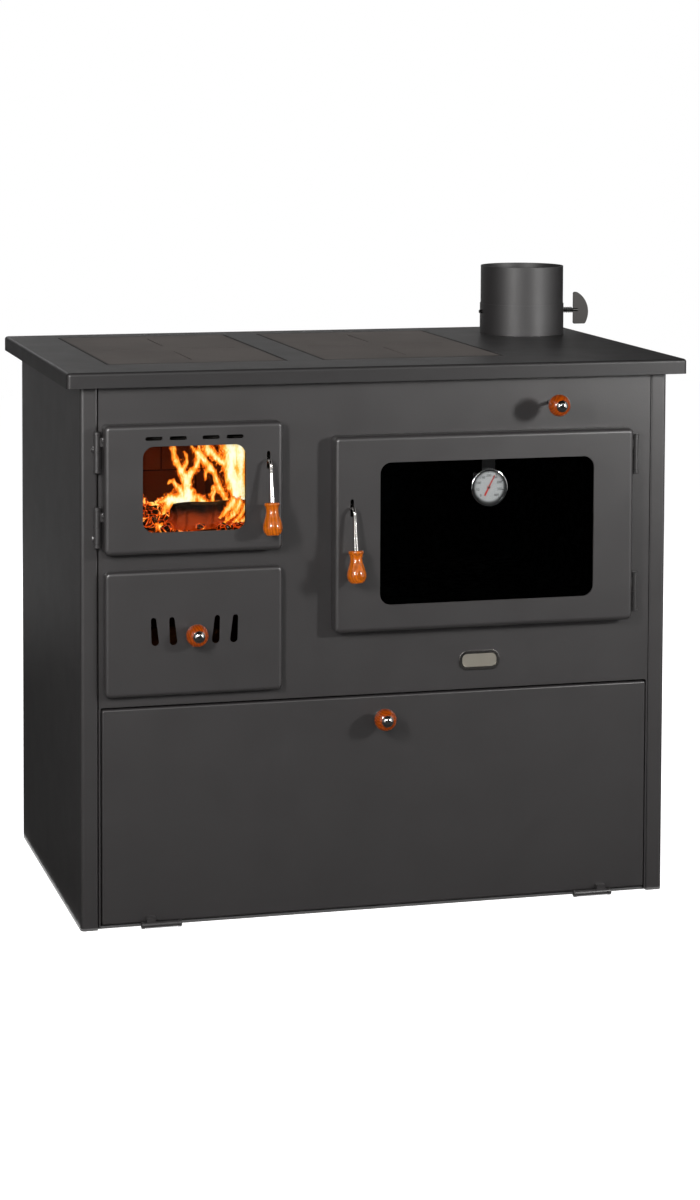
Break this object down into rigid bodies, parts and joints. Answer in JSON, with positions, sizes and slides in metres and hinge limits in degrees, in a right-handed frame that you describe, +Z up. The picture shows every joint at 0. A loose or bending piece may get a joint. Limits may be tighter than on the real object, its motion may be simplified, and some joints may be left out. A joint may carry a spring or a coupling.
{
  "type": "wood cookstove",
  "caption": "Free-standing wood-burning range with glazed firebox and oven doors, ash drawer, drop-front log store, lift-out hotplates and a flue collar with a damper.",
  "frame": {"origin": "on the floor, under the middle of the casing", "axes": "+X to the right seen from the front, +Y to the back, +Z up"},
  "size_m": [1.0175, 0.6844, 0.989],
  "materials": {
    "enamel": "satin anthracite powder coat, fine texture",
    "cooktop_steel": "satin anthracite heat paint",
    "flue_steel": "satin black heat paint",
    "hotplate_iron": "machined and oiled cast iron",
    "grate_iron": "rough casting",
    "hearth_steel": "heat-darkened steel sheet",
    "oven_enamel": "black gloss enamel",
    "firebrick": "fired clay, dull and sooted",
    "door_glass": "clear heat-proof glass, slightly smoked",
    "dial_lens": "clear flat glass",
    "rope_seal": "woven glass-fibre rope",
    "chrome": "polished",
    "varnished_wood": "turned beech, orange-brown gloss varnish",
    "dial_face": "matt white",
    "needle_red": "satin red"
  },
  "bodies": {
    "stove": {"side_panel_left": "enamel", "side_panel_right": "enamel", "front_panel": "enamel", "back_panel": "enamel", "base_plate": "enamel", "log_store": "enamel", "flap_catch": "enamel", "cooktop": "cooktop_steel", "hearth_casing": "hearth_steel", "hearth_partition": "hearth_steel", "grate_shelf": "hearth_steel", "fire_grate": "grate_iron", "firebrick_left": "firebrick", "firebrick_right": "firebrick", "firebrick_back": "firebrick", "oven_box": "oven_enamel", "flue_box": "hearth_steel", "flue_collar": "flue_steel", "fire_hinge_posts": "enamel", "oven_hinge_posts": "enamel", "flap_hinge_pins": "enamel", "fire_latch_keeper": "hearth_steel", "oven_latch_keeper": "hearth_steel"},
    "hotplate_left": {"hotplate_left": "hotplate_iron"},
    "hotplate_right": {"hotplate_right": "hotplate_iron"},
    "fire_door": {"fire_door_pan": "enamel", "fire_door_glass": "door_glass", "fire_door_liner": "hearth_steel", "fire_door_gasket": "rope_seal", "fire_hinge_barrels": "enamel"},
    "fire_latch": {"fire_latch_lever": "chrome", "fire_latch_grip": "varnished_wood"},
    "oven_door": {"oven_door_pan": "enamel", "oven_door_glass": "door_glass", "oven_door_liner": "hearth_steel", "oven_door_gasket": "rope_seal", "oven_hinge_barrels": "enamel", "thermometer_case": "chrome", "thermometer_dial": "dial_face", "thermometer_lens": "dial_lens"},
    "oven_latch": {"oven_latch_lever": "chrome", "oven_latch_grip": "varnished_wood"},
    "needle": {"thermometer_needle": "needle_red"},
    "ash_drawer": {"ash_drawer_front": "enamel", "ash_drawer_liner": "hearth_steel", "ash_tray": "hearth_steel"},
    "air_control": {"drawer_knob": "varnished_wood", "drawer_knob_bolt": "chrome", "air_shutter": "hearth_steel"},
    "log_flap": {"store_flap": "enamel", "flap_knob": "varnished_wood", "flap_knob_bolt": "chrome", "flap_hinge_barrels": "enamel"},
    "bypass": {"bypass_slide": "hearth_steel", "bypass_rod": "chrome", "bypass_knob": "varnished_wood"},
    "flue_damper": {"damper_shaft": "chrome", "damper_plate": "hearth_steel", "damper_handle": "chrome", "damper_spring": "chrome"}
  },
  "joints": [
    {"name": "fire_door_hinge", "type": "hinge", "parent": "stove", "child": "fire_door", "pos_m": [-0.4535, -0.301, 0.688], "axis": [0, 0, -1], "range_deg": [0, 120]},
    {"name": "fire_latch_lift", "type": "hinge", "parent": "fire_door", "child": "fire_latch", "pos_m": [-0.1883, -0.303, 0.7285], "axis": [-1, 0, 0], "range_deg": [0, 33]},
    {"name": "oven_door_hinge", "type": "hinge", "parent": "stove", "child": "oven_door", "pos_m": [0.4215, -0.301, 0.606], "axis": [0, 0, 1], "range_deg": [0, 120]},
    {"name": "oven_latch_lift", "type": "hinge", "parent": "oven_door", "child": "oven_latch", "pos_m": [-0.054, -0.303, 0.6485], "axis": [-1, 0, 0], "range_deg": [0, 33]},
    {"name": "thermometer_turn", "type": "hinge", "parent": "oven_door", "child": "needle", "pos_m": [0.1695, -0.3189, 0.674], "axis": [0, 1, 0], "range_deg": [-150, 105]},
    {"name": "ash_drawer_slide", "type": "slide", "parent": "stove", "child": "ash_drawer", "axis": [0, -1, 0], "range_m": [0, 0.33]},
    {"name": "air_control_turn", "type": "hinge", "parent": "ash_drawer", "child": "air_control", "pos_m": [-0.3025, -0.3045, 0.461], "axis": [0, 1, 0], "range_deg": [0, 90]},
    {"name": "log_flap_hinge", "type": "hinge", "parent": "stove", "child": "log_flap", "pos_m": [0, -0.3035, 0.0062], "axis": [1, 0, 0], "range_deg": [0, 80]},
    {"name": "bypass_pull", "type": "slide", "parent": "stove", "child": "bypass", "axis": [0, -1, 0], "range_m": [0, 0.11]},
    {"name": "flue_damper_turn", "type": "hinge", "parent": "stove", "child": "flue_damper", "pos_m": [0.391, 0.186, 0.909], "axis": [1, 0, 0], "range_deg": [0, 90]},
    {"name": "hotplate_left_lift", "type": "slide", "parent": "stove", "child": "hotplate_left", "axis": [0, 0, 1], "range_m": [0, 0.15]},
    {"name": "hotplate_right_lift", "type": "slide", "parent": "stove", "child": "hotplate_right", "axis": [0, 0, 1], "range_m": [0, 0.15]}
  ]
}
